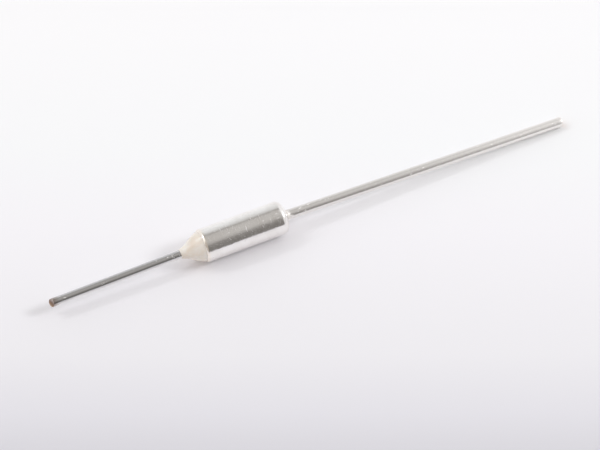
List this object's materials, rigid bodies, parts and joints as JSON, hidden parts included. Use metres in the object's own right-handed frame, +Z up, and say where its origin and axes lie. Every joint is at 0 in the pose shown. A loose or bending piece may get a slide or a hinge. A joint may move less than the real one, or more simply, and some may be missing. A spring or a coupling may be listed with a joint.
{
  "type": "thermal fuse",
  "caption": "Round silvery metal can with a rolled rim, a cream resin cone over its mouth, and stiff wire leads leaving both ends along its axis.",
  "frame": {"origin": "centre of the case barrel, on its axis", "axes": "+X along the case axis towards the closed end and the long case lead; +Z up, away from the table that the fuse lies on"},
  "size_m": [0.0651, 0.004, 0.004],
  "materials": {
    "case_plating": "silver-plated brass, drawn and polished, with fine handling scratches",
    "lead_tin": "tinned copper wire, bare copper where its ends were cut",
    "pellet_compound": "pressed organic compound, matt and slightly grainy",
    "disc_steel": "stamped plain steel",
    "spring_steel": "drawn spring wire, ends ground flat",
    "contact_silver": "silver-plated copper sheet",
    "bushing_alumina": "unglazed white alumina",
    "seal_resin": "cast cream epoxy, satin"
  },
  "bodies": {
    "root": {"case": "case_plating", "case_lead": "lead_tin", "thermal_pellet": "pellet_compound", "pellet_disc": "disc_steel", "main_spring": "spring_steel", "contact_disc": "disc_steel", "star_contact": "contact_silver", "trip_spring": "spring_steel", "isolated_lead": "lead_tin", "ceramic_bushing": "bushing_alumina", "sealing_resin": "seal_resin"}
  },
  "joints": []
}
